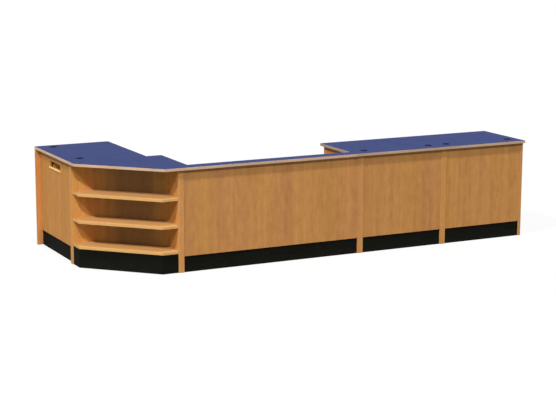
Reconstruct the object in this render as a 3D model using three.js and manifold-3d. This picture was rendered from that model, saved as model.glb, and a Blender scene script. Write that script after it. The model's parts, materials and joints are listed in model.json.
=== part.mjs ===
// A modular L-shaped reception counter: a book-return wing, an angled corner with open display
// shelves, a seated work station behind a narrow transaction ledge, and two storage modules.
//
// Plan view: x runs along the front from the wing's outer edge, y runs back from the front edge,
// z runs up from the floor. The public stands at low x and low y, the staff at high x and high y.

import * as THREE from 'three';
import { mergeVertices } from 'three/addons/utils/BufferGeometryUtils.js';
import Module from 'manifold-3d';

const wasm = await Module();
wasm.setup();

// Fits, in millimetres.
const SEAT_GAP = 0.3;
const RUNNING_GAP = 0.5;

// Overall plan.
const COUNTER_HEIGHT = 990;
const MODULE_WIDTH = 950;
const STATION_WIDTH = 1900;
const WING_WIDTH = 970;
const CORNER_LEG = 815;
const CORNER_CUT = 648;
const COUNTER_DEPTH = 755;
const WING_DEPTH = 780;
const CORNER_DEPTH = 770;
const LEDGE_DEPTH = 150;

// Tops and their overhangs.
const TOP_THICKNESS = 25;
const BAND_THICKNESS = 3;
const TOP_CORNER_RADIUS = 12;
const FRONT_OVERHANG = 25;
const REAR_OVERHANG = 25;
const END_OVERHANG = 15;
const CORNER_TOP_LAP = 120;
const COUNTER_TOP_LAP = 65;

// Carcass boards.
const GABLE_THICKNESS = 30;
const PANEL_THICKNESS = 19;
const PANEL_BOTTOM = 153;
const PANEL_SETBACK = 4;
const WING_PANEL_SETBACK = 20;
const KICK_THICKNESS = 12;
const KICK_SETBACK = 10;
const WING_KICK_SETBACK = 30;
const DECK_THICKNESS = 19;
const DECK_HEIGHT = 90;
const SHELF_THICKNESS = 25;
const SHELF_HEIGHT = 470;
const SHELF_REAR_SETBACK = 12;
const RAIL_HEIGHT = 60;

// Corner display shelves.
const CORNER_GABLE_THICKNESS = 25;
const CORNER_KICK_HEIGHT = 180;
const CORNER_FRONT_SETBACK = 14;
const DISPLAY_DEPTH = 260;
const LOWER_SHELF_HEIGHT = 422;
const UPPER_SHELF_HEIGHT = 680;

// Seated work station.
const WORK_HEIGHT = 737;
const SUPPORT_DEPTH = 300;

// Book return in the wing's outer panel.
const SLOT_WIDTH = 285;
const SLOT_HEIGHT = 74;
const SLOT_DROP = 94;
const SLOT_CORNER_RADIUS = 6;
const LIP_HEIGHT = 18;
const LIP_FALL = 6;
const LIP_PROJECTION = 10;
const LIP_SIDE_LAP = 15;
const LIP_NOSE_RADIUS = 6;
const CHUTE_LENGTH = 300;
const CHUTE_WALL = 9;
const CHUTE_CHEEK = 70;
const CHUTE_SLOPE = THREE.MathUtils.degToRad(25);

// Stationery drawer in the end module, opening to the staff side.
const DRAWER_FRONT_HEIGHT = 120;
const DRAWER_REVEAL = 3;
const TRAY_DEPTH = 450;
const TRAY_HEIGHT = 80;
const TRAY_WALL = 12;
const TRAY_BOTTOM = 8;
const RUNNER_THICKNESS = 12;
const RUNNER_HEIGHT = 45;
const PULL_SPAN = 128;
const PULL_REACH = 30;
const PULL_BAR = 9;
const PULL_HEIGHT = 12;
const PULL_CORNER_RADIUS = 16;

// Cable grommets in the full-depth tops.
const GROMMET_HOLE_RADIUS = 30;
const GROMMET_FLANGE_RADIUS = 35;
const GROMMET_FLANGE_HEIGHT = 2.5;
const GROMMET_LIP_RADIUS = 27;
const GROMMET_SEAT_RADIUS = 24;
const GROMMET_SEAT_DEPTH = 4;
const GROMMET_SEAT_HEIGHT = 3;
const CAP_THICKNESS = 3;
const CABLE_SLOT_WIDTH = 18;
const CABLE_SLOT_INNER = 8;
const GROMMET_FROM_JOINT = 105;
const GROMMET_FROM_FRONT = 160;
const ROUND_SEGMENTS = 40;
const FILLET_SEGMENTS = 6;
const MERGE_DISTANCE = 1e-4;

// Places worked out from the sizes above.
const stationStart = CORNER_LEG;
const middleStart = stationStart + STATION_WIDTH;
const endStart = middleStart + MODULE_WIDTH;
const runEnd = endStart + MODULE_WIDTH;
const wingStart = CORNER_LEG;
const wingEnd = wingStart + WING_WIDTH;
const totalLength = runEnd + END_OVERHANG;
const totalDepth = wingEnd + END_OVERHANG;
const topUnderside = COUNTER_HEIGHT - TOP_THICKNESS;
const carcassTop = topUnderside - SEAT_GAP;
const runRear = COUNTER_DEPTH - REAR_OVERHANG;
const wingRear = WING_DEPTH - REAR_OVERHANG;
const panelFace = FRONT_OVERHANG + PANEL_SETBACK;
const panelBack = panelFace + PANEL_THICKNESS;
const kickFace = FRONT_OVERHANG + KICK_SETBACK;
const kickBack = kickFace + KICK_THICKNESS;
const boardFront = Math.max(panelBack, kickBack) + SEAT_GAP;
const wingPanelFace = FRONT_OVERHANG + WING_PANEL_SETBACK;
const wingPanelBack = wingPanelFace + PANEL_THICKNESS;
const innerEdge = GABLE_THICKNESS + SEAT_GAP;
const cornerTopEnd = stationStart + CORNER_TOP_LAP;
const counterTopStart = middleStart - COUNTER_TOP_LAP;
const seamHalf = SEAT_GAP / 2;
const bandInset = BAND_THICKNESS + SEAT_GAP;
const wingMiddle = (wingStart + wingEnd) / 2;
const slotTop = COUNTER_HEIGHT - SLOT_DROP;
const slotBottom = slotTop - SLOT_HEIGHT;

// Modules of the front run, each with its left and right limit.
const storageModules = [
  ['middle', middleStart, endStart],
  ['end', endStart, runEnd],
];
const runModules = [['station', stationStart, middleStart], ...storageModules];

// Finishes.
function finish(color, roughness, metalness = 0) {
  return new THREE.MeshStandardMaterial({ color, roughness, metalness });
}

const oak = finish('#b4804c', 0.5);
const paleBand = finish('#dcb98f', 0.45);
const blueLaminate = finish('#47507c', 0.4);
const blackVinyl = finish('#161715', 0.55);
const blackPlastic = finish('#15171f', 0.4);
const steel = finish('#b9bcc0', 0.35, 0.9);

const desk = new THREE.Group();
desk.name = 'reception_desk';
desk.position.set(-totalLength / 2, -totalDepth / 2, 0);

function addPiece(name, geometry, material) {
  const mesh = new THREE.Mesh(geometry, material);
  mesh.name = name;
  desk.add(mesh);
  return mesh;
}

// A board with square edges between two opposite corners.
function addBoard(name, material, low, high) {
  const [width, depth, height] = high.map((value, axis) => value - low[axis]);
  const geometry = new THREE.BoxGeometry(width, depth, height);
  geometry.translate(low[0] + width / 2, low[1] + depth / 2, low[2] + height / 2);
  return addPiece(name, geometry, material);
}

// Outline points, each a plan position with an optional corner radius.
const at = (x, y, radius = 0) => ({ x, y, radius });

function edgeLine(start, end, distance) {
  const direction = new THREE.Vector2(end.x - start.x, end.y - start.y).normalize();
  const inward = new THREE.Vector2(-direction.y, direction.x).multiplyScalar(distance);
  return { origin: new THREE.Vector2(start.x, start.y).add(inward), direction };
}

function meetingPoint(first, second) {
  const between = second.origin.clone().sub(first.origin);
  const travel = between.cross(second.direction) / first.direction.cross(second.direction);
  return first.origin.clone().addScaledVector(first.direction, travel);
}

function insetCorner(before, corner, after, distanceBefore, distanceAfter) {
  const arriving = edgeLine(before, corner, distanceBefore);
  const leaving = edgeLine(corner, after, distanceAfter);
  const point = meetingPoint(arriving, leaving);
  return at(point.x, point.y, Math.max(0, corner.radius - Math.max(distanceBefore, distanceAfter)));
}

// Moves each edge of a counter-clockwise outline inwards by its own distance.
function insetOutline(corners, distances) {
  const count = corners.length;
  return corners.map((corner, index) => {
    const previous = (index + count - 1) % count;
    const next = (index + 1) % count;
    return insetCorner(corners[previous], corner, corners[next], distances[previous], distances[index]);
  });
}

// Replaces each corner that has a radius by an arc.
function filletedPoints(corners) {
  const points = [];
  corners.forEach((corner, index) => {
    const here = new THREE.Vector2(corner.x, corner.y);
    if (corner.radius <= 0) {
      points.push(here);
      return;
    }
    const previous = corners[(index + corners.length - 1) % corners.length];
    const next = corners[(index + 1) % corners.length];
    const back = new THREE.Vector2(previous.x, previous.y).sub(here).normalize();
    const ahead = new THREE.Vector2(next.x, next.y).sub(here).normalize();
    const halfAngle = Math.acos(back.dot(ahead)) / 2;
    const bisector = back.clone().add(ahead).normalize();
    const centre = here.clone().addScaledVector(bisector, corner.radius / Math.sin(halfAngle));
    const start = here.clone().addScaledVector(back, corner.radius / Math.tan(halfAngle));
    const sweep = (Math.PI - 2 * halfAngle) * Math.sign(ahead.cross(back));
    for (let step = 0; step <= FILLET_SEGMENTS; step += 1) {
      const angle = (sweep * step) / FILLET_SEGMENTS;
      points.push(start.clone().rotateAround(centre, angle));
    }
  });
  return points;
}

// A flat board of any outline, lying at a height, with round holes.
function slabGeometry(corners, bottom, thickness, holes = []) {
  const shape = new THREE.Shape(filletedPoints(corners));
  for (const hole of holes) {
    shape.holes.push(new THREE.Path().absarc(hole.x, hole.y, hole.radius, 0, 2 * Math.PI, true));
  }
  const geometry = new THREE.ExtrudeGeometry(shape, {
    depth: thickness,
    bevelEnabled: false,
    curveSegments: ROUND_SEGMENTS,
  });
  return geometry.translate(0, 0, bottom);
}

// A strip that follows a path and has its thickness on the path's left.
function ribbonCorners(path, thickness) {
  const last = path.length - 1;
  const inner = path.map((corner, index) => {
    if (index === 0) {
      const line = edgeLine(corner, path[1], thickness);
      return at(line.origin.x, line.origin.y);
    }
    if (index === last) {
      const line = edgeLine(path[last - 1], corner, thickness);
      const reach = Math.hypot(corner.x - path[last - 1].x, corner.y - path[last - 1].y);
      const end = line.origin.addScaledVector(line.direction, reach);
      return at(end.x, end.y);
    }
    return insetCorner(path[index - 1], corner, path[index + 1], thickness, thickness);
  });
  return [...path, ...inner.reverse()];
}

// A solid for cutting and joining, and the way back to a geometry.
function toSolid(geometry) {
  const bare = geometry.clone();
  bare.deleteAttribute('normal');
  bare.deleteAttribute('uv');
  const merged = mergeVertices(bare, MERGE_DISTANCE);
  const vertProperties = new Float32Array(merged.attributes.position.array);
  const triVerts = new Uint32Array(merged.index.array);
  return new wasm.Manifold(new wasm.Mesh({ numProp: 3, vertProperties, triVerts }));
}

function fromSolid(solid) {
  const { vertProperties, triVerts } = solid.getMesh();
  const geometry = new THREE.BufferGeometry();
  geometry.setAttribute('position', new THREE.BufferAttribute(new Float32Array(vertProperties), 3));
  geometry.setIndex(new THREE.BufferAttribute(new Uint32Array(triVerts), 1));
  geometry.computeVertexNormals();
  return geometry;
}

// Turns a profile drawn in a board's own plane to stand along the wing: drawn x becomes y, drawn y
// becomes up, and the extrusion runs into the desk.
const alongWing = new THREE.Matrix4().makeBasis(
  new THREE.Vector3(0, 1, 0),
  new THREE.Vector3(0, 0, 1),
  new THREE.Vector3(1, 0, 0),
);

// Grommet places: two in each full-depth module, near the public edge.
const grommets = [
  ['wing_near', at(GROMMET_FROM_FRONT, wingStart + GROMMET_FROM_JOINT)],
  ['wing_far', at(GROMMET_FROM_FRONT, wingEnd - GROMMET_FROM_JOINT)],
  ['middle_left', at(middleStart + GROMMET_FROM_JOINT, GROMMET_FROM_FRONT)],
  ['middle_right', at(endStart - GROMMET_FROM_JOINT, GROMMET_FROM_FRONT)],
  ['end_left', at(endStart + GROMMET_FROM_JOINT, GROMMET_FROM_FRONT)],
  ['end_right', at(runEnd - GROMMET_FROM_JOINT, GROMMET_FROM_FRONT)],
];

function grommetHoles(modules) {
  return grommets
    .filter(([name]) => modules.includes(name.split('_')[0]))
    .map(([, place]) => at(place.x, place.y, GROMMET_HOLE_RADIUS));
}

// Tops: a laminate core inside a solid wood band on every exposed edge.
function addTop(name, corners, seams, modules = []) {
  const distances = corners.map((corner, index) => (seams.includes(index) ? seamHalf : bandInset));
  const core = insetOutline(corners, distances);
  addPiece(name, slabGeometry(core, topUnderside, TOP_THICKNESS, grommetHoles(modules)), blueLaminate);
}

function addBand(name, path, bottom = topUnderside) {
  addPiece(name, slabGeometry(ribbonCorners(path, BAND_THICKNESS), bottom, TOP_THICKNESS), paleBand);
}

function addTops() {
  const radius = TOP_CORNER_RADIUS;

  const wingSeam = 3;
  const wingCorners = [
    at(WING_DEPTH, wingStart),
    at(WING_DEPTH, totalDepth, radius),
    at(0, totalDepth, radius),
    at(0, wingStart),
  ];
  addTop('wing_top', wingCorners, [wingSeam], ['wing']);
  addBand('wing_top_band', [
    at(WING_DEPTH, wingStart + seamHalf),
    wingCorners[1],
    wingCorners[2],
    at(0, wingStart + seamHalf),
  ]);

  const cornerSeam = 6;
  const cornerCorners = [
    at(0, wingStart),
    at(0, CORNER_CUT),
    at(CORNER_CUT, 0),
    at(cornerTopEnd, 0),
    at(cornerTopEnd, CORNER_DEPTH, radius),
    at(WING_DEPTH, CORNER_DEPTH),
    at(WING_DEPTH, wingStart),
  ];
  addTop('corner_top', cornerCorners, [cornerSeam]);
  addBand('corner_front_band', [
    at(0, wingStart - seamHalf),
    cornerCorners[1],
    cornerCorners[2],
    at(cornerTopEnd - bandInset, 0),
  ]);
  addBand('corner_rear_band', [
    at(cornerTopEnd, LEDGE_DEPTH + SEAT_GAP),
    cornerCorners[4],
    cornerCorners[5],
    at(WING_DEPTH, wingStart - seamHalf),
  ]);

  const ledgeStart = cornerTopEnd - BAND_THICKNESS;
  const ledgeEnd = counterTopStart + BAND_THICKNESS;
  addBoard(
    'ledge_top',
    blueLaminate,
    [ledgeStart, bandInset, topUnderside],
    [ledgeEnd, LEDGE_DEPTH - bandInset, COUNTER_HEIGHT],
  );
  addBand('ledge_front_band', [at(ledgeStart, 0), at(ledgeEnd, 0)]);
  addBand('ledge_rear_band', [
    at(counterTopStart - SEAT_GAP, LEDGE_DEPTH),
    at(cornerTopEnd + SEAT_GAP, LEDGE_DEPTH),
  ]);

  const counterCorners = [
    at(counterTopStart, 0),
    at(totalLength, 0, radius),
    at(totalLength, COUNTER_DEPTH, radius),
    at(counterTopStart, COUNTER_DEPTH, radius),
  ];
  addTop('counter_top', counterCorners, [], ['middle', 'end']);
  addBand('counter_top_band', [
    at(ledgeEnd + SEAT_GAP, 0),
    counterCorners[1],
    counterCorners[2],
    counterCorners[3],
    at(counterTopStart, LEDGE_DEPTH + SEAT_GAP),
  ]);
}

// Gables: each module stands on its own pair, and neighbours are bolted face to face.
function addGables() {
  const runGable = (name, left, right) => {
    addBoard(name, oak, [left, FRONT_OVERHANG, 0], [right, runRear, carcassTop]);
  };
  const wingGable = (name, front, near, far) => {
    addBoard(name, oak, [front, near, 0], [wingRear, far, carcassTop]);
  };
  wingGable('wing_end_gable', 0, wingEnd - GABLE_THICKNESS, wingEnd);
  wingGable('wing_corner_gable', FRONT_OVERHANG, wingStart + seamHalf, wingStart + GABLE_THICKNESS);
  const cornerInside = CORNER_LEG - CORNER_GABLE_THICKNESS;
  wingGable('corner_wing_gable', FRONT_OVERHANG, cornerInside, wingStart - seamHalf);
  runGable('corner_station_gable', cornerInside, stationStart - seamHalf);
  for (const [name, start, end] of runModules) {
    runGable(`${name}_left_gable`, start + seamHalf, start + GABLE_THICKNESS);
    runGable(`${name}_right_gable`, end - GABLE_THICKNESS, end - seamHalf);
  }
}

// Front panels and kick boards between each module's gables.
function addFronts() {
  const kickTop = PANEL_BOTTOM - SEAT_GAP;
  for (const [name, start, end] of runModules) {
    const left = start + innerEdge;
    const right = end - innerEdge;
    addBoard(`${name}_front_panel`, oak, [left, panelFace, PANEL_BOTTOM], [right, panelBack, carcassTop]);
    addBoard(`${name}_kick`, blackVinyl, [left, kickFace, 0], [right, kickBack, kickTop]);
  }

  const near = wingStart + innerEdge;
  const far = wingEnd - innerEdge;
  const wingKickFace = FRONT_OVERHANG + WING_KICK_SETBACK;
  addBoard('wing_kick', blackVinyl, [wingKickFace, near, 0], [wingKickFace + KICK_THICKNESS, far, kickTop]);

  const panel = new THREE.Shape([
    new THREE.Vector2(near, PANEL_BOTTOM),
    new THREE.Vector2(far, PANEL_BOTTOM),
    new THREE.Vector2(far, carcassTop),
    new THREE.Vector2(near, carcassTop),
  ]);
  const slot = [
    at(wingMiddle - SLOT_WIDTH / 2, slotBottom, SLOT_CORNER_RADIUS),
    at(wingMiddle + SLOT_WIDTH / 2, slotBottom, SLOT_CORNER_RADIUS),
    at(wingMiddle + SLOT_WIDTH / 2, slotTop, SLOT_CORNER_RADIUS),
    at(wingMiddle - SLOT_WIDTH / 2, slotTop, SLOT_CORNER_RADIUS),
  ];
  panel.holes.push(new THREE.Path(filletedPoints(slot)));
  const geometry = new THREE.ExtrudeGeometry(panel, { depth: PANEL_THICKNESS, bevelEnabled: false });
  geometry.applyMatrix4(alongWing).translate(wingPanelFace, 0, 0);
  addPiece('wing_front_panel', geometry, oak);
}

// Corner unit: the kick, three shelves and back panel follow the top's cut corner.
function addCorner() {
  const side = CORNER_LEG - CORNER_GABLE_THICKNESS - SEAT_GAP;
  const cutSum = CORNER_CUT + CORNER_FRONT_SETBACK * Math.SQRT2;
  const bend = cutSum - kickFace;
  const front = [at(kickFace, side), at(kickFace, bend), at(bend, kickFace), at(side, kickFace)];
  const kick = ribbonCorners(front, KICK_THICKNESS);
  addPiece('corner_kick', slabGeometry(kick, 0, CORNER_KICK_HEIGHT), blackVinyl);

  const backSum = cutSum + DISPLAY_DEPTH * Math.SQRT2;
  const shelf = [...front, at(side, backSum - side), at(backSum - side, side)];
  const shelves = [
    ['corner_bottom_shelf', CORNER_KICK_HEIGHT + SEAT_GAP],
    ['corner_lower_shelf', LOWER_SHELF_HEIGHT],
    ['corner_upper_shelf', UPPER_SHELF_HEIGHT],
  ];
  for (const [name, bottom] of shelves) {
    addPiece(name, slabGeometry(shelf, bottom, SHELF_THICKNESS), oak);
  }

  const faceSum = backSum + SEAT_GAP * Math.SQRT2;
  const rearSum = faceSum + PANEL_THICKNESS * Math.SQRT2;
  const back = [
    at(side, faceSum - side),
    at(side, rearSum - side),
    at(rearSum - side, side),
    at(faceSum - side, side),
  ];
  addPiece('corner_back_panel', slabGeometry(back, 0, carcassTop), oak);
}

// Work station: a lower worktop behind the ledge, on the gables and a short middle support.
function addStation() {
  const left = stationStart + innerEdge;
  const right = middleStart - innerEdge;
  const underside = WORK_HEIGHT - TOP_THICKNESS;
  const coreRear = COUNTER_DEPTH - bandInset;
  addBoard('work_surface', blueLaminate, [left, boardFront, underside], [right, coreRear, WORK_HEIGHT]);
  addBand('work_surface_band', [at(right, COUNTER_DEPTH), at(left, COUNTER_DEPTH)], underside);
  const middle = (left + right) / 2;
  addBoard(
    'work_surface_support',
    oak,
    [middle - GABLE_THICKNESS / 2, boardFront, 0],
    [middle + GABLE_THICKNESS / 2, boardFront + SUPPORT_DEPTH, underside - SEAT_GAP],
  );
}

// Storage modules: a deck and a shelf between the gables, open to the staff side.
function addStorage() {
  const deckTop = DECK_HEIGHT + DECK_THICKNESS;
  for (const [name, start, end] of storageModules) {
    const left = start + innerEdge;
    const right = end - innerEdge;
    addBoard(`${name}_deck`, oak, [left, boardFront, DECK_HEIGHT], [right, runRear, deckTop]);
    addBoard(
      `${name}_shelf`,
      oak,
      [left, boardFront, SHELF_HEIGHT],
      [right, runRear - SHELF_REAR_SETBACK, SHELF_HEIGHT + SHELF_THICKNESS],
    );
  }
  addBoard(
    'wing_rail',
    oak,
    [wingRear - PANEL_THICKNESS, wingStart + innerEdge, carcassTop - RAIL_HEIGHT],
    [wingRear, wingEnd - innerEdge, carcassTop],
  );
}

// Book return: a nosed lip in the slot and a sloping chute behind it.
function addBookReturn() {
  const lipTop = slotBottom + LIP_HEIGHT;
  const nose = wingPanelFace - LIP_PROJECTION;
  const faceGap = wingPanelFace - SEAT_GAP;

  // The outer nosing laps the panel's face at both sides; its tongue lines the slot's sill.
  const nosing = [
    at(nose, slotBottom, LIP_NOSE_RADIUS),
    at(faceGap, slotBottom),
    at(faceGap, lipTop),
    at(nose, lipTop, LIP_NOSE_RADIUS),
  ];
  const tongue = [
    at(faceGap - SEAT_GAP, slotBottom + SEAT_GAP),
    at(wingPanelBack, slotBottom + SEAT_GAP),
    at(wingPanelBack, lipTop - LIP_FALL),
    at(faceGap - SEAT_GAP, lipTop),
  ];
  const acrossSlot = new THREE.Matrix4().makeRotationX(Math.PI / 2);
  const lipPart = (profile, width) => {
    const geometry = slabGeometry(profile, 0, width);
    return toSolid(geometry.applyMatrix4(acrossSlot).translate(0, wingMiddle + width / 2, 0));
  };
  const tongueWidth = SLOT_WIDTH - 2 * SLOT_CORNER_RADIUS;
  const lip = lipPart(nosing, SLOT_WIDTH + 2 * LIP_SIDE_LAP).add(lipPart(tongue, tongueWidth));
  addPiece('return_lip', fromSolid(lip), paleBand);

  // A U-shaped channel, drawn across the slope and extruded down it.
  const half = SLOT_WIDTH / 2 + CHUTE_WALL;
  const channel = new THREE.Shape(filletedPoints([
    at(-half, -CHUTE_WALL),
    at(half, -CHUTE_WALL),
    at(half, CHUTE_CHEEK),
    at(half - CHUTE_WALL, CHUTE_CHEEK),
    at(half - CHUTE_WALL, 0),
    at(CHUTE_WALL - half, 0),
    at(CHUTE_WALL - half, CHUTE_CHEEK),
    at(-half, CHUTE_CHEEK),
  ]));
  const across = new THREE.Vector3(0, 1, 0);
  const upright = new THREE.Vector3(Math.sin(CHUTE_SLOPE), 0, Math.cos(CHUTE_SLOPE));
  const downhill = new THREE.Vector3(Math.cos(CHUTE_SLOPE), 0, -Math.sin(CHUTE_SLOPE));
  const chute = new THREE.ExtrudeGeometry(channel, { depth: CHUTE_LENGTH, bevelEnabled: false });
  chute.applyMatrix4(new THREE.Matrix4().makeBasis(across, upright, downhill));
  const start = wingPanelBack + SEAT_GAP + CHUTE_WALL * Math.sin(CHUTE_SLOPE);
  chute.translate(start, wingMiddle, slotBottom);
  addPiece('return_chute', chute, oak);
}

// Stationery drawer: a front and a tray that slide out to the staff side on two fixed runners.
function addDrawer() {
  const left = endStart + GABLE_THICKNESS;
  const right = runEnd - GABLE_THICKNESS;
  const middle = (left + right) / 2;
  const frontTop = carcassTop - DRAWER_REVEAL;
  const frontBottom = frontTop - DRAWER_FRONT_HEIGHT;
  const frontInside = runRear - PANEL_THICKNESS;
  addBoard(
    'drawer_front',
    oak,
    [left + DRAWER_REVEAL, frontInside, frontBottom],
    [right - DRAWER_REVEAL, runRear, frontTop],
  );

  const sideRoom = SEAT_GAP + RUNNER_THICKNESS + RUNNING_GAP;
  const trayRear = frontInside - SEAT_GAP;
  const trayFront = trayRear - TRAY_DEPTH;
  const trayMiddle = (trayFront + trayRear) / 2;
  const trayBottom = (frontBottom + frontTop - TRAY_HEIGHT) / 2;
  const tray = new THREE.BoxGeometry(right - left - 2 * sideRoom, TRAY_DEPTH, TRAY_HEIGHT);
  tray.translate(middle, trayMiddle, trayBottom + TRAY_HEIGHT / 2);
  const hollow = new THREE.BoxGeometry(
    right - left - 2 * (sideRoom + TRAY_WALL),
    TRAY_DEPTH - 2 * TRAY_WALL,
    TRAY_HEIGHT,
  );
  hollow.translate(middle, trayMiddle, trayBottom + TRAY_BOTTOM + TRAY_HEIGHT / 2);
  addPiece('drawer_tray', fromSolid(toSolid(tray).subtract(toSolid(hollow))), oak);

  const runnerBottom = trayBottom + (TRAY_HEIGHT - RUNNER_HEIGHT) / 2;
  const runner = (name, start) => {
    addBoard(
      name,
      steel,
      [start, trayFront, runnerBottom],
      [start + RUNNER_THICKNESS, trayRear, runnerBottom + RUNNER_HEIGHT],
    );
  };
  runner('drawer_left_runner', left + SEAT_GAP);
  runner('drawer_right_runner', right - SEAT_GAP - RUNNER_THICKNESS);

  const foot = runRear + SEAT_GAP;
  const pull = ribbonCorners([
    at(middle + PULL_SPAN / 2, foot),
    at(middle + PULL_SPAN / 2, foot + PULL_REACH, PULL_CORNER_RADIUS),
    at(middle - PULL_SPAN / 2, foot + PULL_REACH, PULL_CORNER_RADIUS),
    at(middle - PULL_SPAN / 2, foot),
  ], PULL_BAR);
  const pullBottom = (frontBottom + frontTop - PULL_HEIGHT) / 2;
  addPiece('drawer_pull', slabGeometry(pull, pullBottom, PULL_HEIGHT), steel);
}

// Cable grommets: a flanged liner in the top and a cap with a cable slot that turns on its seat.
function turnedGeometry(profile) {
  const points = profile.map(([radius, height]) => new THREE.Vector2(radius, height));
  return new THREE.LatheGeometry(points, ROUND_SEGMENTS).rotateX(Math.PI / 2);
}

function addGrommets() {
  const flangeBottom = COUNTER_HEIGHT + SEAT_GAP;
  const flangeTop = flangeBottom + GROMMET_FLANGE_HEIGHT;
  const seat = flangeTop - GROMMET_SEAT_DEPTH;
  const barrel = GROMMET_HOLE_RADIUS - SEAT_GAP;
  const liner = turnedGeometry([
    [GROMMET_SEAT_RADIUS, seat - GROMMET_SEAT_HEIGHT],
    [GROMMET_LIP_RADIUS, seat - GROMMET_SEAT_HEIGHT],
    [GROMMET_LIP_RADIUS, topUnderside],
    [barrel, topUnderside],
    [barrel, flangeBottom],
    [GROMMET_FLANGE_RADIUS, flangeBottom],
    [GROMMET_FLANGE_RADIUS - GROMMET_FLANGE_HEIGHT / 2, flangeTop],
    [GROMMET_LIP_RADIUS, flangeTop],
    [GROMMET_LIP_RADIUS, seat],
    [GROMMET_SEAT_RADIUS, seat],
    [GROMMET_SEAT_RADIUS, seat - GROMMET_SEAT_HEIGHT],
  ]);

  const capBottom = seat + SEAT_GAP;
  const capRadius = GROMMET_LIP_RADIUS - RUNNING_GAP;
  const disc = turnedGeometry([
    [0, capBottom],
    [capRadius, capBottom],
    [capRadius, capBottom + CAP_THICKNESS],
    [0, capBottom + CAP_THICKNESS],
  ]);
  const slotReach = 2 * capRadius;
  const slot = new THREE.BoxGeometry(slotReach, CABLE_SLOT_WIDTH, 2 * CAP_THICKNESS);
  slot.translate(CABLE_SLOT_INNER + slotReach / 2, 0, capBottom + CAP_THICKNESS / 2);
  const cap = fromSolid(toSolid(disc).subtract(toSolid(slot)));

  for (const [name, place] of grommets) {
    addPiece(`${name}_liner`, liner.clone().translate(place.x, place.y, 0), blackPlastic);
    addPiece(`${name}_cap`, cap.clone().translate(place.x, place.y, 0), blackPlastic);
  }
}

addTops();
addGables();
addFronts();
addCorner();
addStation();
addStorage();
addBookReturn();
addDrawer();
addGrommets();

export default desk;
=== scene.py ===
# %% [markdown]
# # A modular reception counter
# The counter is an L of laminate boards: a wing with a book return, an angled corner with open display
# shelves, a work station behind a narrow ledge, and two storage modules under one deep top.
# The imported model is the frame. Every piece below takes its place from it, in metres, so nothing has to
# be fitted by eye.

# %% Load the frame
import json
import math

import bpy
from mathutils import Matrix, Vector

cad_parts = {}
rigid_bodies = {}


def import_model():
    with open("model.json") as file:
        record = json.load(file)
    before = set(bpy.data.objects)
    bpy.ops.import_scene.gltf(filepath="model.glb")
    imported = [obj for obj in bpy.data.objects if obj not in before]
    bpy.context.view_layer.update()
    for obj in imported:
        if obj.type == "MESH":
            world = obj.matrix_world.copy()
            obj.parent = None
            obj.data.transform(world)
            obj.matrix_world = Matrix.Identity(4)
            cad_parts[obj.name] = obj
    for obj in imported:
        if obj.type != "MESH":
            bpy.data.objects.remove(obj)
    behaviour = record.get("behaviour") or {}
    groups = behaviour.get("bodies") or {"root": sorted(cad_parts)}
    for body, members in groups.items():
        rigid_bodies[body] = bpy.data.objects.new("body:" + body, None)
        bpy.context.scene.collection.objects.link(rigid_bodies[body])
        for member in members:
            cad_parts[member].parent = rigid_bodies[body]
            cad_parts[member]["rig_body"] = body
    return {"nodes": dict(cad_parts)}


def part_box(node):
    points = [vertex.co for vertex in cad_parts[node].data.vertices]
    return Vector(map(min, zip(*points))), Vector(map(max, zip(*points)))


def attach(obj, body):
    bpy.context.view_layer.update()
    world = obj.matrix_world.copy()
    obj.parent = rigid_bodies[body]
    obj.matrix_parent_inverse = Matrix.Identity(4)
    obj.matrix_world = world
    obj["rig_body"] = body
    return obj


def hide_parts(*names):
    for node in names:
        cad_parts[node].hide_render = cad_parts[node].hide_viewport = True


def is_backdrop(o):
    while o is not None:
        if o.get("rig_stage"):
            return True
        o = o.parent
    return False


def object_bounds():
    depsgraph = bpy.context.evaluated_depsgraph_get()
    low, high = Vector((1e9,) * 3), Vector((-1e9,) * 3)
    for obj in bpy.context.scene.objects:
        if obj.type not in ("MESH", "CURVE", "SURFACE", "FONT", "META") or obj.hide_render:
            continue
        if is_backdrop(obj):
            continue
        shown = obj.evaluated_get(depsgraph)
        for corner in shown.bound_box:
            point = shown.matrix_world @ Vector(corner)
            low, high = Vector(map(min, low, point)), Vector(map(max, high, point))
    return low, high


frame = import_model()
scene = bpy.context.scene
scene.view_settings.view_transform = "Standard"
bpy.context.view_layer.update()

# %% [markdown]
# ## The camera
# The picture was taken from the public side, well back and a little above the tops, with a long lens.
# A camera could be aimed with a tracking constraint, but three plain turns are easier to repeat: tilt it
# up from looking straight down, level it with a small roll, then swing it round to face the corner.

# %% Camera
CAMERA_PLACE = (-7.1907, -14.1458, 3.4759)
CAMERA_LENS = 103.362
CAMERA_SENSOR = 36.0
CAMERA_SWING = math.radians(26.7528)
CAMERA_DIP = math.radians(11.2927)
CAMERA_ROLL = math.radians(0.1833)

bpy.ops.object.select_all(action="DESELECT")
bpy.ops.object.camera_add(location=CAMERA_PLACE)
camera = bpy.context.object
camera.name = "photo_camera"
camera.data.sensor_fit = "HORIZONTAL"
camera.data.sensor_width = CAMERA_SENSOR
camera.data.lens = CAMERA_LENS
swing = Matrix.Rotation(-CAMERA_SWING, 4, "Z")
tilt = Matrix.Rotation(math.pi / 2 - CAMERA_DIP, 4, "X")
level = Matrix.Rotation(CAMERA_ROLL, 4, "Z")
camera.matrix_world = Matrix.Translation(CAMERA_PLACE) @ swing @ tilt @ level
scene.camera = camera
print("camera:", camera.name, "lens", camera.data.lens)

# %% [markdown]
# ## Small helpers for materials
# Each finish is built from noise that is squeezed or stretched until it looks like grain, fleck or dust.
# These helpers place one node and give back its output, so that a recipe reads from top to bottom.
# Colours are written as a paint chart gives them, 0 to 255, and turned into the linear values that a
# shader needs.

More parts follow.
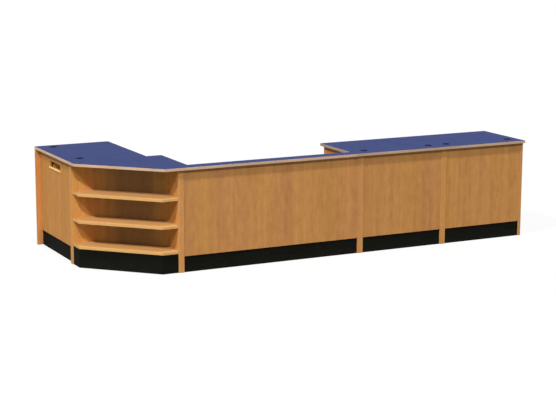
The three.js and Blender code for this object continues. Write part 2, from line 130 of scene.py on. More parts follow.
# %% Node helpers
def paint(red, green, blue):
    """A colour from 0 to 255 as linear values with full alpha."""
    shares = [value / 255 for value in (red, green, blue)]
    linear = [share / 12.92 if share <= 0.04045 else ((share + 0.055) / 1.055) ** 2.4 for share in shares]
    return (*linear, 1.0)


def connect(tree, source, socket):
    """Links an output to a socket, or writes a plain value there."""
    if isinstance(source, bpy.types.NodeSocket):
        tree.links.new(source, socket)
    else:
        socket.default_value = source


def stretched_noise(tree, place, scale, detail, roughness=0.5):
    """Noise with its own number of features per metre along x, y and z."""
    mapping = tree.nodes.new("ShaderNodeMapping")
    mapping.inputs["Scale"].default_value = scale
    connect(tree, place, mapping.inputs["Vector"])
    noise = tree.nodes.new("ShaderNodeTexNoise")
    noise.inputs["Scale"].default_value = 1.0
    noise.inputs["Detail"].default_value = detail
    noise.inputs["Roughness"].default_value = roughness
    connect(tree, mapping.outputs["Vector"], noise.inputs["Vector"])
    return noise.outputs["Fac"]


def remap(tree, value, low, high, to_low=0.0, to_high=1.0):
    """Spreads the part of a value between low and high over a new range."""
    node = tree.nodes.new("ShaderNodeMapRange")
    connect(tree, value, node.inputs["Value"])
    node.inputs["From Min"].default_value = low
    node.inputs["From Max"].default_value = high
    node.inputs["To Min"].default_value = to_low
    node.inputs["To Max"].default_value = to_high
    return node.outputs["Result"]


def cut_noise(tree, place, scale, detail, low, high, roughness=0.5):
    """Stretched noise, of which only the part between low and high counts, spread over 0 to 1."""
    return remap(tree, stretched_noise(tree, place, scale, detail, roughness), low, high)


def calculate(tree, operation, first, second):
    """One step of arithmetic on two values."""
    node = tree.nodes.new("ShaderNodeMath")
    node.operation = operation
    connect(tree, first, node.inputs[0])
    connect(tree, second, node.inputs[1])
    return node.outputs["Value"]


def mix_colours(tree, share, first, second, blend="MIX"):
    """Two colours blended by a share, or combined in another way."""
    node = tree.nodes.new("ShaderNodeMix")
    node.data_type = "RGBA"
    node.blend_type = blend
    # The node has sockets for every kind of value. Inputs 6 and 7 and output 2 are its colours.
    connect(tree, share, node.inputs[0])
    connect(tree, first, node.inputs[6])
    connect(tree, second, node.inputs[7])
    return node.outputs[2]


def new_group(name, inputs, outputs):
    """An empty node group with named sockets, and its two end nodes."""
    group = bpy.data.node_groups.new(name, "ShaderNodeTree")
    for label, kind in inputs:
        group.interface.new_socket(label, in_out="INPUT", socket_type=kind)
    for label, kind in outputs:
        group.interface.new_socket(label, in_out="OUTPUT", socket_type=kind)
    return group, group.nodes.new("NodeGroupInput"), group.nodes.new("NodeGroupOutput")


def place_group(tree, group, place, **values):
    """Puts a node group in a material at a place, with its own colours."""
    node = tree.nodes.new("ShaderNodeGroup")
    node.node_tree = group
    connect(tree, place, node.inputs["Place"])
    for label, value in values.items():
        connect(tree, value, node.inputs[label])
    return node


print("node helpers ready")

# %% [markdown]
# ## The grain of oak laminate
# The boards are faced with a printed oak. Seen from across a room it is quiet: soft streaks two or three
# centimetres wide, broken by flakes as long as a finger, and slow changes between planks, some of which are
# a little pinker and some a little yellower. Close to, thin growth lines run into pointed arches and short
# dark pores follow the grain.
# A wave texture gives lines that are too even, so the growth lines here are the contours of a smooth
# stretched noise, which close into long arches by themselves. The group takes a place whose z axis runs
# along the grain, so the same recipe serves upright and level boards.

# %% Group: oak figure
FLOAT = "NodeSocketFloat"
COLOUR = "NodeSocketColor"
VECTOR = "NodeSocketVector"
# Features per metre: twice across the grain, then along it.
PLANK_SPREAD = (5, 5, 0.35)
HUE_SPREAD = (4, 4, 0.3)
STREAK_SPREAD = (20, 20, 0.7)
FLAKE_SPREAD = (22, 22, 9)
ARCH_SPREAD = (6, 6, 0.5)
PORE_SPREAD = (900, 900, 35)
# Shares of the way from the light tone to the dark one.
PLANK_TONES = (0.07, 0.27)
STREAK_SHARE = 0.24
FLAKE_SHARE = 0.28
LINE_SHARE = 0.1
GROWTH_LINES = 15.0
LINE_SHARPNESS = 2.5
PORE_SHADE = 0.72
STREAK_HEIGHT = 0.3
OAK_ROUGHNESS = (0.42, 0.56)
PINK_PLANK = (1.0, 0.98, 1.045, 1.0)
YELLOW_PLANK = (1.0, 1.02, 0.955, 1.0)

oak_figure, figure_in, figure_out = new_group(
    "oak_figure",
    [("Place", VECTOR), ("Light", COLOUR), ("Dark", COLOUR)],
    [("Color", COLOUR), ("Roughness", FLOAT), ("Height", FLOAT)],
)
grain = figure_in.outputs["Place"]
planks = stretched_noise(oak_figure, grain, PLANK_SPREAD, detail=2)
tone = remap(oak_figure, planks, 0.35, 0.65, *PLANK_TONES)
streaks = cut_noise(oak_figure, grain, STREAK_SPREAD, detail=2, low=0.32, high=0.68)
flakes = cut_noise(oak_figure, grain, FLAKE_SPREAD, detail=1, low=0.3, high=0.7)
contours = stretched_noise(oak_figure, grain, ARCH_SPREAD, detail=1)
waves = calculate(oak_figure, "PINGPONG", calculate(oak_figure, "MULTIPLY", contours, GROWTH_LINES), 0.5)
lines = calculate(oak_figure, "POWER", remap(oak_figure, waves, 0.0, 0.5), LINE_SHARPNESS)
pores = cut_noise(oak_figure, grain, PORE_SPREAD, detail=1, low=0.60, high=0.72)

for part, share in ((streaks, STREAK_SHARE), (flakes, FLAKE_SHARE), (lines, LINE_SHARE)):
    tone = calculate(oak_figure, "ADD", tone, calculate(oak_figure, "MULTIPLY", part, share))
wood_colour = mix_colours(oak_figure, tone, figure_in.outputs["Light"], figure_in.outputs["Dark"])
plank_hue = cut_noise(oak_figure, grain, HUE_SPREAD, detail=1, low=0.35, high=0.65)
hue = mix_colours(oak_figure, plank_hue, PINK_PLANK, YELLOW_PLANK)
wood_colour = mix_colours(oak_figure, 1.0, wood_colour, hue, "MULTIPLY")
pore_shade = remap(oak_figure, pores, 0.0, 1.0, 1.0, PORE_SHADE)
shade = oak_figure.nodes.new("ShaderNodeCombineColor")
for channel in shade.inputs:
    connect(oak_figure, pore_shade, channel)
wood_colour = mix_colours(oak_figure, 1.0, wood_colour, shade.outputs["Color"], "MULTIPLY")
connect(oak_figure, wood_colour, figure_out.inputs["Color"])
connect(oak_figure, remap(oak_figure, streaks, 0.0, 1.0, *OAK_ROUGHNESS), figure_out.inputs["Roughness"])
ridges = calculate(oak_figure, "MULTIPLY", streaks, STREAK_HEIGHT)
connect(oak_figure, calculate(oak_figure, "SUBTRACT", ridges, pores), figure_out.inputs["Height"])
print("group:", oak_figure.name, len(oak_figure.nodes), "nodes")

# %% [markdown]
# ## Scuffs near the floor
# Shoes, mops and trolleys mark the lowest hand's breadth of any counter. The group gives a mask that is
# strongest at the floor, fades upwards, and is broken into smears by two noises.

# %% Group: floor scuffs
SCUFF_HEIGHT = 0.16
SMEAR_SPREAD = (9, 9, 60)
HAZE_SPREAD = (4, 4, 14)
HAZE_SHARE = 0.45

floor_scuffs, scuff_in, scuff_out = new_group("floor_scuffs", [("Place", VECTOR)], [("Mask", FLOAT)])
scuff_place = scuff_in.outputs["Place"]
split = floor_scuffs.nodes.new("ShaderNodeSeparateXYZ")
connect(floor_scuffs, scuff_place, split.inputs["Vector"])
lowness = remap(floor_scuffs, split.outputs["Z"], 0.0, SCUFF_HEIGHT, 1.0, 0.0)
smears = cut_noise(floor_scuffs, scuff_place, SMEAR_SPREAD, detail=5, low=0.45, high=0.8, roughness=0.7)
haze = cut_noise(floor_scuffs, scuff_place, HAZE_SPREAD, detail=3, low=0.3, high=0.8)
marks = calculate(floor_scuffs, "MAXIMUM", smears, calculate(floor_scuffs, "MULTIPLY", haze, HAZE_SHARE))
connect(floor_scuffs, calculate(floor_scuffs, "MULTIPLY", marks, lowness), scuff_out.inputs["Mask"])
print("group:", floor_scuffs.name, len(floor_scuffs.nodes), "nodes")

# %% [markdown]
# ## Fine fleck
# Plain laminate and moulded plastic are never one flat colour: a fine fleck breaks the surface, and
# handling leaves slow changes of gloss. One group gives both, and each finish uses them in its own way.

# %% Group: fine fleck
FLECK_SPREAD = (420, 420, 420)
HANDLING_SPREAD = (3.5, 3.5, 3.5)
PIMPLE_SPREAD = (1600, 1600, 1600)

fine_fleck, fleck_in, fleck_out = new_group(
    "fine_fleck", [("Place", VECTOR)], [("Fleck", FLOAT), ("Handling", FLOAT), ("Height", FLOAT)]
)
fleck_place = fleck_in.outputs["Place"]
fleck = cut_noise(fine_fleck, fleck_place, FLECK_SPREAD, detail=2, low=0.3, high=0.7, roughness=0.6)
handling = cut_noise(fine_fleck, fleck_place, HANDLING_SPREAD, detail=4, low=0.3, high=0.7, roughness=0.6)
pimples = stretched_noise(fine_fleck, fleck_place, PIMPLE_SPREAD, detail=1)
connect(fine_fleck, fleck, fleck_out.inputs["Fleck"])
connect(fine_fleck, handling, fleck_out.inputs["Handling"])
connect(fine_fleck, pimples, fleck_out.inputs["Height"])
print("group:", fine_fleck.name, len(fine_fleck.nodes), "nodes")

# %% [markdown]
# ## Oak finishes
# All the oak comes from one recipe. Fronts, gables, edges and shelves differ a little in tone, as boards
# from different sheets do. Two finishes are darker copies as painted shade: the storage fronts of the
# station's front, and the display wall by the station of the wall by the wing. The grain is turned to run
# along each board: upright on fronts and gables, level on decks and rails, and along the cut corner on the
# display shelves.

# %% Materials: oak
OAK_SPECULAR = 0.03
OAK_DUST = 0.25
GRAIN_RELIEF = 0.00015
DUST = paint(150, 132, 110)
UPRIGHT = (0.0, 0.0, 0.0)
ALONG_X = (0.0, math.radians(90), 0.0)
ALONG_Y = (math.radians(90), 0.0, 0.0)
ALONG_CUT = (0.0, math.radians(90), math.radians(-45))


def new_material(name):
    """A material with its shader, and a socket that gives the place on the piece."""
    material = bpy.data.materials.new(name)
    material.use_nodes = True
    tree = material.node_tree
    place = tree.nodes.new("ShaderNodeTexCoord").outputs["Object"]
    return material, tree, tree.nodes["Principled BSDF"], place


def add_relief(tree, shader, height, depth):
    """Raises the surface by a depth in metres where the height is one."""
    bump = tree.nodes.new("ShaderNodeBump")
    bump.inputs["Strength"].default_value = 1.0
    bump.inputs["Distance"].default_value = depth
    connect(tree, height, bump.inputs["Height"])
    connect(tree, bump.outputs["Normal"], shader.inputs["Normal"])


def oak_material(name, light, dark, turn=UPRIGHT):
    """Oak between two tones, with its grain upright or turned."""
    material, tree, shader, place = new_material(name)
    mapping = tree.nodes.new("ShaderNodeMapping")
    mapping.vector_type = "TEXTURE"
    mapping.inputs["Rotation"].default_value = turn
    connect(tree, place, mapping.inputs["Vector"])
    tones = {"Light": paint(*light), "Dark": paint(*dark)}
    figure = place_group(tree, oak_figure, mapping.outputs["Vector"], **tones)
    figure.name = "figure"
    scuffs = place_group(tree, floor_scuffs, place)
    dusty = calculate(tree, "MULTIPLY", scuffs.outputs["Mask"], OAK_DUST)
    connect(tree, mix_colours(tree, dusty, figure.outputs["Color"], DUST), shader.inputs["Base Color"])
    connect(tree, figure.outputs["Roughness"], shader.inputs["Roughness"])
    shader.inputs["Specular IOR Level"].default_value = OAK_SPECULAR
    add_relief(tree, shader, figure.outputs["Height"], GRAIN_RELIEF)
    return material


oak_front = oak_material("oak_front", (195, 141, 81), (163, 110, 65))
# Painted shade: a darker copy of oak_front, for the fronts of the two storage modules.
oak_front_painted_shade = oak_material("oak_front_painted_shade", (191, 138, 79), (159, 107, 63))
oak_gable = oak_material("oak_gable", (222, 151, 85), (196, 128, 67))
oak_wing = oak_material("oak_wing", (198, 140, 75), (166, 112, 55))
oak_wall = oak_material("oak_wall", (229, 167, 93), (202, 140, 72))
# Painted shade: a darker copy of oak_wall, for the display wall by the station.
oak_wall_painted_shade = oak_material("oak_wall_painted_shade", (212, 154, 86), (187, 129, 66))
oak_edge = oak_material("oak_edge", (195, 140, 82), (170, 119, 68))
corner_edge = oak_material("corner_edge", (208, 150, 86), (182, 127, 71))
oak_back = oak_material("oak_back", (207, 159, 91), (177, 131, 69))
oak_shelf = oak_material("oak_shelf", (204, 153, 97), (180, 132, 81), ALONG_CUT)
shelf_edge = oak_material("shelf_edge", (209, 164, 101), (190, 144, 86), ALONG_CUT)
oak_level = oak_material("oak_level", (200, 146, 88), (170, 119, 67), ALONG_X)
oak_rail = oak_material("oak_rail", (200, 146, 88), (170, 119, 67), ALONG_Y)
OAK_NAMES = ("oak", "corner", "shelf")
print("oak finishes:", [finish.name for finish in bpy.data.materials if finish.name.startswith(OAK_NAMES)])

# %% [markdown]
# ## Painted shade in the back panel's middle
# Behind the display shelves the back panel is painted darker towards the middle, as the shade that falls
# deeper there, and is left as pale as the walls at its two ends. The figure's two tones are therefore
# blended by the distance from an upright line, which lies a little to the right of the middle.

# %% Back panel's painted shade
# Where the painted shade is deepest, as a share of the panel's width, and how far round it it is full.
SHADE_PLACE = 0.56
SHADE_REACH = 0.35


def paint_shade_in_middle(material, node, light, dark):
    """Paints shade into an oak finish: darker tones near the middle of a node, along x."""
    low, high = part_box(node)
    half = (high.x - low.x) / 2
    tree = material.node_tree
    split = tree.nodes.new("ShaderNodeSeparateXYZ")
    connect(tree, tree.nodes.new("ShaderNodeTexCoord").outputs["Object"], split.inputs["Vector"])
    from_line = calculate(tree, "SUBTRACT", split.outputs["X"], low.x + SHADE_PLACE * (high.x - low.x))
    share = remap(tree, calculate(tree, "ABSOLUTE", from_line, 0.0), SHADE_REACH * half, half)
    for label, tone in (("Light", light), ("Dark", dark)):
        socket = tree.nodes["figure"].inputs[label]
        pale = tuple(socket.default_value)
        connect(tree, mix_colours(tree, share, paint(*tone), pale), socket)


# The darker tones here are painted shade in the middle of the back panel.
paint_shade_in_middle(oak_back, "corner_back_panel", (161, 130, 86), (133, 104, 66))
print("darker middle:", oak_back.name)

# %% [markdown]
# ## Pale edging
# The tops are lipped with a pale solid wood. Each top's lipping has its own tone: creamy at the wing and
# the corner, browner on the long counter. A yellower wood makes the sill of the book return. The chute is
# lined in a similar yellow as painted light: its pale colour stands for light in the shaded slot.
# The lines of the wood run level round every bend, so the noise is stretched in both level directions and
# tight in height.

# %% Materials: lipping, sill and the chute's painted light
LIPPING_RELIEF = 0.0001
LIPPING_LINES = (7, 7, 420)
LIPPING_PATCHES = (3, 3, 6)


def vary_roughness(tree, shader, mask, low, high):
    """Lets a mask from 0 to 1 move the roughness from low to high."""
    connect(tree, remap(tree, mask, 0.0, 1.0, low, high), shader.inputs["Roughness"])


def lipping_material(name, light, dark):
    """Solid wood between two tones, with level lines."""
    material, tree, shader, place = new_material(name)
    wood_lines = cut_noise(tree, place, LIPPING_LINES, detail=4, low=0.3, high=0.7, roughness=0.6)
    strip_tone = cut_noise(tree, place, LIPPING_PATCHES, detail=2, low=0.35, high=0.65)
    share = calculate(tree, "MULTIPLY", calculate(tree, "ADD", wood_lines, strip_tone), 0.5)
    connect(tree, mix_colours(tree, share, paint(*light), paint(*dark)), shader.inputs["Base Color"])
    vary_roughness(tree, shader, wood_lines, low=0.38, high=0.5)
    shader.inputs["Specular IOR Level"].default_value = OAK_SPECULAR
    add_relief(tree, shader, wood_lines, LIPPING_RELIEF)
    return material


LIPPING_TONES = {
    "wing": ((208, 176, 149), (187, 153, 125)),
    "corner": ((203, 171, 141), (182, 149, 118)),
    "ledge": ((197, 166, 141), (176, 145, 118)),
    "counter": ((182, 154, 130), (163, 134, 110)),
    "work": ((193, 163, 138), (173, 142, 116)),
}
lippings = {top: lipping_material(f"{top}_lipping", *tones) for top, tones in LIPPING_TONES.items()}
yellow_sill = lipping_material("yellow_sill", (240, 200, 120), (224, 182, 104))
# The chute's pale yellow is painted light in the shade inside the slot.
chute_painted_light = lipping_material("chute_painted_light", (246, 196, 116), (234, 180, 98))
print("materials:", [finish.name for finish in lippings.values()], yellow_sill.name, chute_painted_light.name)

# %% [markdown]
# ## Blue laminate
# The tops are a deep matt blue laminate. From a low view a glossy top would mirror the white room and
# turn pale, and in the photo it stays blue, so its gloss is very low. A fine fleck and slow changes from
# handling keep it from looking painted. The undersides and the hidden rears are a plain brown backing.

# %% Materials: blue laminate and its brown backing
BLUE_SPECULAR = 0.01
BLUE_WEAR = 0.22
BLUE_RELIEF = 0.00004

blue_laminate, tree, shader, place = new_material("blue_laminate")
fleck_node = place_group(tree, fine_fleck, place)
blue_tone = mix_colours(tree, fleck_node.outputs["Fleck"], paint(43, 52, 90), paint(51, 60, 102))
blue_worn = calculate(tree, "MULTIPLY", fleck_node.outputs["Handling"], BLUE_WEAR)
connect(tree, mix_colours(tree, blue_worn, blue_tone, paint(57, 65, 98)), shader.inputs["Base Color"])
vary_roughness(tree, shader, fleck_node.outputs["Handling"], low=0.55, high=0.72)
shader.inputs["Specular IOR Level"].default_value = BLUE_SPECULAR
add_relief(tree, shader, fleck_node.outputs["Height"], BLUE_RELIEF)

backing, tree, shader, place = new_material("backing_sheet")
fleck_node = place_group(tree, fine_fleck, place)
backing_tone = mix_colours(tree, fleck_node.outputs["Fleck"], paint(84, 62, 46), paint(98, 74, 55))
connect(tree, backing_tone, shader.inputs["Base Color"])
vary_roughness(tree, shader, fleck_node.outputs["Handling"], low=0.6, high=0.75)
print("materials:", blue_laminate.name, backing.name)

# %% [markdown]
# ## Black kick boards and cable grommets
# The kick boards are faced with black vinyl, which shows dust and shoe marks first. The grommets are
# moulded in a blue-black plastic with a fine spark texture.

# %% Materials: black vinyl and black plastic
BLACK_SPECULAR = 0.005
VINYL_DUST = 0.05
VINYL_RELIEF = 0.00005
PLASTIC_RELIEF = 0.00008

kick_vinyl, tree, shader, place = new_material("kick_vinyl")
scuff_node = place_group(tree, floor_scuffs, place)
fleck_node = place_group(tree, fine_fleck, place)
vinyl_tone = mix_colours(tree, fleck_node.outputs["Fleck"], paint(15, 16, 13), paint(21, 22, 18))
vinyl_dust = calculate(tree, "MULTIPLY", scuff_node.outputs["Mask"], VINYL_DUST)
connect(tree, mix_colours(tree, vinyl_dust, vinyl_tone, DUST), shader.inputs["Base Color"])
vary_roughness(tree, shader, scuff_node.outputs["Mask"], low=0.5, high=0.75)
shader.inputs["Specular IOR Level"].default_value = BLACK_SPECULAR
add_relief(tree, shader, fleck_node.outputs["Height"], VINYL_RELIEF)

black_plastic, tree, shader, place = new_material("black_plastic")
fleck_node = place_group(tree, fine_fleck, place)
plastic_tone = mix_colours(tree, fleck_node.outputs["Fleck"], paint(10, 12, 24), paint(16, 18, 32))
connect(tree, plastic_tone, shader.inputs["Base Color"])
vary_roughness(tree, shader, fleck_node.outputs["Handling"], low=0.42, high=0.58)
shader.inputs["Specular IOR Level"].default_value = BLACK_SPECULAR
add_relief(tree, shader, fleck_node.outputs["Height"], PLASTIC_RELIEF)
print("materials:", kick_vinyl.name, black_plastic.name)

# %% [markdown]
# ## Steel
# The runners, the pull and the small fixings are brushed or plated steel. Fine scratches along each
# piece vary the gloss, which is most of what makes bare metal look like metal.

# %% Material: brushed steel
SCRATCH_SPREAD = (60, 60, 2600)
STEEL_ROUGHNESS = (0.26, 0.42)
STEEL_RELIEF = 0.00003

brushed_steel, tree, shader, place = new_material("brushed_steel")
scratches = stretched_noise(tree, place, SCRATCH_SPREAD, detail=3, roughness=0.7)
steel_tone = mix_colours(tree, scratches, paint(176, 178, 182), paint(206, 207, 209))
connect(tree, steel_tone, shader.inputs["Base Color"])
connect(tree, remap(tree, scratches, 0.3, 0.7, *STEEL_ROUGHNESS), shader.inputs["Roughness"])
shader.inputs["Metallic"].default_value = 1.0
add_relief(tree, shader, scratches, STEEL_RELIEF)
print("material:", brushed_steel.name)

# %% [markdown]
# ## Helpers for making pieces
# Square boards start as a cube at the size of their node. Boards with another outline start as a copy of
# the node's mesh, which is merged first because it is made of loose triangles. Either way the edges are
# then eased, and the faces that carry another finish are picked by the way they face.
# Every finished piece stands in for its node, which is hidden, and rides on its node's body.

# %% Piece helpers
SHARP_ANGLE = math.radians(30)
FLAT_ANGLE = math.radians(1)
MERGE_DISTANCE = 0.00002


def pick_only(piece):
    """Makes one piece the only selected and the active one."""
    bpy.ops.object.select_all(action="DESELECT")
    piece.select_set(True)
    bpy.context.view_layer.objects.active = piece


def pick_faces(piece, wanted):
    """Goes to edit mode with only the wanted faces selected."""
    pick_only(piece)
    bpy.ops.object.mode_set(mode="EDIT")
    bpy.ops.mesh.select_mode(type="FACE")
    bpy.ops.mesh.select_all(action="DESELECT")
    bpy.ops.object.mode_set(mode="OBJECT")
    for face in piece.data.polygons:
        face.select = wanted(face)
    bpy.ops.object.mode_set(mode="EDIT")


def finish_picked(piece, index):
    """Gives the selected faces the piece's finish with that number."""
    piece.active_material_index = index
    bpy.ops.object.material_slot_assign()


def ease_edges(piece, width, segments=2):
    """Rounds every sharp edge."""
    pick_only(piece)
    bevel = piece.modifiers.new("eased_edges", "BEVEL")
    bevel.width = width
    bevel.segments = segments
    bevel.limit_method = "ANGLE"
    bevel.angle_limit = SHARP_ANGLE
    bpy.ops.object.modifier_apply(modifier=bevel.name)


def add_block(name, low, high):
    """A square block between two corners, with its place in its mesh."""
    bpy.ops.object.select_all(action="DESELECT")
    bpy.ops.mesh.primitive_cube_add(size=1, location=(low + high) / 2)
    piece = bpy.context.object
    piece.name = name
    piece.scale = high - low
    bpy.ops.object.transform_apply(location=True, rotation=True, scale=True)
    return piece


def copy_node(node):
    """A merged copy of a node's mesh, with flat areas made whole again."""
    piece = bpy.data.objects.new(f"{node}_finished", frame["nodes"][node].data.copy())
    scene.collection.objects.link(piece)
    piece.data.materials.clear()
    pick_only(piece)
    if piece.data.has_custom_normals:
        bpy.ops.mesh.customdata_custom_splitnormals_clear()
    bpy.ops.object.mode_set(mode="EDIT")
    bpy.ops.mesh.select_all(action="SELECT")
    bpy.ops.mesh.remove_doubles(threshold=MERGE_DISTANCE)
    bpy.ops.mesh.dissolve_limited(angle_limit=FLAT_ANGLE)
    bpy.ops.object.mode_set(mode="OBJECT")
    bpy.ops.object.shade_flat()
    return piece


def hand_over(piece, node):
    """The piece stands in for its node, which is hidden, and moves as the node does."""
    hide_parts(node)
    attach(piece, frame["nodes"][node]["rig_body"])


print("piece helpers ready")

# %% [markdown]
# ## Square boards
# A laminate board is a core with a face sheet on each side and a strip of edging glued round it. On the
# real thing that shows as a fine line a little way in from each edge. After easing the cube's edges, the
# two broad faces are inset by the edging's thickness, then sunk by a hair for the glue line, and only
# what lies inside takes the face's grain.

# %% Board maker
EDGE_EASE = 0.001
EDGING = 0.002
GLUE_LINE = 0.0003
# A face is picked if its normal reaches this far along an axis. One would be exactly square on.
SQUARE_ON = 0.99


def add_board(node, face_finish, edge_finish):
    """A square board with edging round its two broad faces."""
    low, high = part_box(node)
    piece = add_block(f"{node}_finished", low, high)
    sides = list(high - low)
    thin = sides.index(min(sides))
    ease_edges(piece, EDGE_EASE)
    piece.data.materials.append(edge_finish)
    piece.data.materials.append(face_finish)
    pick_faces(piece, lambda face: abs(face.normal[thin]) > SQUARE_ON)
    bpy.ops.mesh.inset(thickness=EDGING, depth=0, use_individual=True)
    bpy.ops.mesh.inset(thickness=GLUE_LINE, depth=-GLUE_LINE, use_individual=True)
    finish_picked(piece, 1)
    bpy.ops.object.mode_set(mode="OBJECT")
    hand_over(piece, node)
    return piece


print("edging:", EDGING, "glue line:", GLUE_LINE)

# %% [markdown]
# ## Gables
# The gables are the upright boards that carry the counter, two of them where modules meet. They could be
# dressed one by one, but they differ only in their finishes, so one loop makes them all. Those of the
# corner unit are the walls of the display: the one by the wing is paler, and the one by the station is
# painted a little darker than it, as shade.

# %% Gables
GABLES = [
    "wing_end_gable",
    "wing_corner_gable",
    "corner_wing_gable",
    "corner_station_gable",
    "station_left_gable",
    "station_right_gable",
    "middle_left_gable",
    "middle_right_gable",
    "end_left_gable",
    "end_right_gable",
]
# The four gables at the two joints of the corner unit have a paler edge.
CORNER_JOINTS = GABLES[1:5]
# The wall by the station takes a darker copy of the other wall's oak, as painted shade.
WALLS = {"corner_wing_gable": oak_wall, "corner_station_gable": oak_wall_painted_shade}
for node in GABLES:
    add_board(node, WALLS.get(node, oak_gable), corner_edge if node in CORNER_JOINTS else oak_edge)
print("gables:", len(GABLES))

# %% [markdown]
# ## Fronts, decks and shelves
# The front panels close the public side, with their grain upright. Behind them the decks and shelves have
# level grain, along their length, as boards are cut to be stiff. All are square, so each takes one call.

# %% Fronts, rails, decks and shelves
# The storage fronts take a darker copy of the station's oak, as painted shade.
FRONT_FINISHES = {"station": oak_front, "middle": oak_front_painted_shade, "end": oak_front_painted_shade}
for module, finish in FRONT_FINISHES.items():
    add_board(f"{module}_front_panel", finish, finish)
for node in ("middle_deck", "middle_shelf", "end_deck", "end_shelf"):
    add_board(node, oak_level, oak_level)
add_board("wing_rail", oak_rail, oak_rail)
add_board("work_surface_support", oak_gable, oak_edge)
add_board("drawer_front", oak_level, oak_level)

# %% [markdown]
# ## Kick boards
# A kick board is faced with black vinyl where the public sees it. Its rear is left in the plain brown
# backing, because it looks into the counter.

# %% Kick boards of the straight modules
STRAIGHT_MODULES = ("wing", "station", "middle", "end")
# A looser limit than SQUARE_ON, which also takes in eased edges and bends.
LEANING = 0.5


def back_up(piece, inward):
    """Gives the faces that look into the counter the plain backing."""
    piece.data.materials.append(backing)
    pick_faces(piece, lambda face: face.normal.dot(inward) > LEANING)
    finish_picked(piece, len(piece.data.materials) - 1)
    bpy.ops.object.mode_set(mode="OBJECT")


for module in STRAIGHT_MODULES:
    kick = add_board(f"{module}_kick", kick_vinyl, kick_vinyl)
    back_up(kick, Vector((1, 0, 0)) if module == "wing" else Vector((0, 1, 0)))
print("straight kick boards:", len(STRAIGHT_MODULES))

# %% [markdown]
# ## Tops and their lipping
# Each top is a blue sheet on a thick core, with a pale strip on every open edge. The sheet only needs a
# hair of easing, because it meets the strip flush. The strip is rounded more, as a router leaves it. The
# underside of a top is faced with a plain brown backing, so that it stays flat.

# %% Tops
TOP_EASE = 0.0004


def add_top(node):
    """A blue top with a brown underside."""
    piece = copy_node(node)
    ease_edges(piece, TOP_EASE, segments=1)
    piece.data.materials.append(blue_laminate)
    piece.data.materials.append(backing)
    pick_faces(piece, lambda face: face.normal.z < -LEANING)
    finish_picked(piece, 1)
    bpy.ops.object.mode_set(mode="OBJECT")
    hand_over(piece, node)


TOPS = ("wing_top", "corner_top", "ledge_top", "counter_top", "work_surface")
for node in TOPS:
    add_top(node)
print("tops:", len(TOPS))

# %% Lipping
LIPPING_EASE = 0.0011
LIPPINGS = (
    "wing_top_band",
    "corner_front_band",
    "corner_rear_band",
    "ledge_front_band",
    "ledge_rear_band",
    "counter_top_band",
    "work_surface_band",
)

for node in LIPPINGS:
    strip = copy_node(node)
    ease_edges(strip, LIPPING_EASE, segments=3)
    strip.data.materials.append(lippings[node.split("_")[0]])
    hand_over(strip, node)
print("lippings:", len(LIPPINGS))

# %% [markdown]
# ## The display corner
# Three shelves, a kick board and a back panel follow the cut corner. Their outlines have bends that a
# cube doesn't, so they start from copies. A shelf's broad faces carry grain along the cut, and its edge
# is a shade lighter, where the edging catches the light.

# %% Display corner
SHELF_EASE = 0.0015
KICK_EASE = 0.0015

for level in ("bottom", "lower", "upper"):
    node = f"corner_{level}_shelf"
    shelf = copy_node(node)
    ease_edges(shelf, SHELF_EASE)
    shelf.data.materials.append(shelf_edge)
    shelf.data.materials.append(oak_shelf)
    pick_faces(shelf, lambda face: abs(face.normal.z) > SQUARE_ON)
    bpy.ops.mesh.inset(thickness=EDGING, depth=0, use_individual=True)
    finish_picked(shelf, 1)
    bpy.ops.object.mode_set(mode="OBJECT")
    hand_over(shelf, node)

back_panel = copy_node("corner_back_panel")
ease_edges(back_panel, EDGE_EASE)
back_panel.data.materials.append(oak_back)
hand_over(back_panel, "corner_back_panel")

corner_kick = copy_node("corner_kick")
ease_edges(corner_kick, KICK_EASE)
corner_kick.data.materials.append(kick_vinyl)
back_up(corner_kick, Vector((1, 1, 0)))
hand_over(corner_kick, "corner_kick")
print("display corner: 3 shelves, back panel, kick board")

# %% [markdown]
# ## The book return
# Books go in through a slot in the wing's outer panel, over a rounded pale sill, and slide down a sloping
# channel into a trolley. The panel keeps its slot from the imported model. The sill is worn round, so it
# gets a wider easing than a laminate board.

# %% Book return
SILL_EASE = 0.0015
CHUTE_EASE = 0.0015

wing_panel = copy_node("wing_front_panel")
ease_edges(wing_panel, EDGE_EASE)
wing_panel.data.materials.append(oak_wing)
hand_over(wing_panel, "wing_front_panel")

return_sill = copy_node("return_lip")
ease_edges(return_sill, SILL_EASE, segments=3)
return_sill.data.materials.append(yellow_sill)
hand_over(return_sill, "return_lip")

chute = copy_node("return_chute")
ease_edges(chute, CHUTE_EASE)
# The pale lining is painted light in the chute's shade.
chute.data.materials.append(chute_painted_light)
hand_over(chute, "return_chute")
print("book return: panel, sill, chute")

# %% [markdown]
# ## The stationery drawer
# On the staff side a drawer hangs under the end module's top. Its tray is a plain box, its pull a bent
# steel bow, and each side runs on a pair of steel channels: the outer one is screwed to the gable, and
# the inner one slides with the tray.

# %% Drawer tray and pull
TRAY_EASE = 0.0012
PULL_EASE = 0.0028
PULL_SMOOTH = math.radians(40)

tray = copy_node("drawer_tray")
ease_edges(tray, TRAY_EASE)
tray.data.materials.append(oak_level)
hand_over(tray, "drawer_tray")

pull = copy_node("drawer_pull")
ease_edges(pull, PULL_EASE, segments=4)
pull.data.materials.append(brushed_steel)
pick_only(pull)
bpy.ops.object.shade_smooth_by_angle(angle=PULL_SMOOTH)
hand_over(pull, "drawer_pull")
print("drawer: tray and pull")

# %% [markdown]
# ## Drawer runners
# A runner is a channel of thin steel. It could be cut from a block with a boolean, but a plate is easier to
# keep clean: it is cut twice along its length, and the strips above and below are drawn out towards the
# drawer as flanges. The inner rail is a plain bar that has clearance to the channel all round.

# %% Drawer runners
CHANNEL_WALL = 0.0018
CHANNEL_EASE = 0.0005
RAIL_EASE = 0.0012
RAIL_CLEARANCE = 0.0015
RAIL_LENGTH_SHARE = 0.92


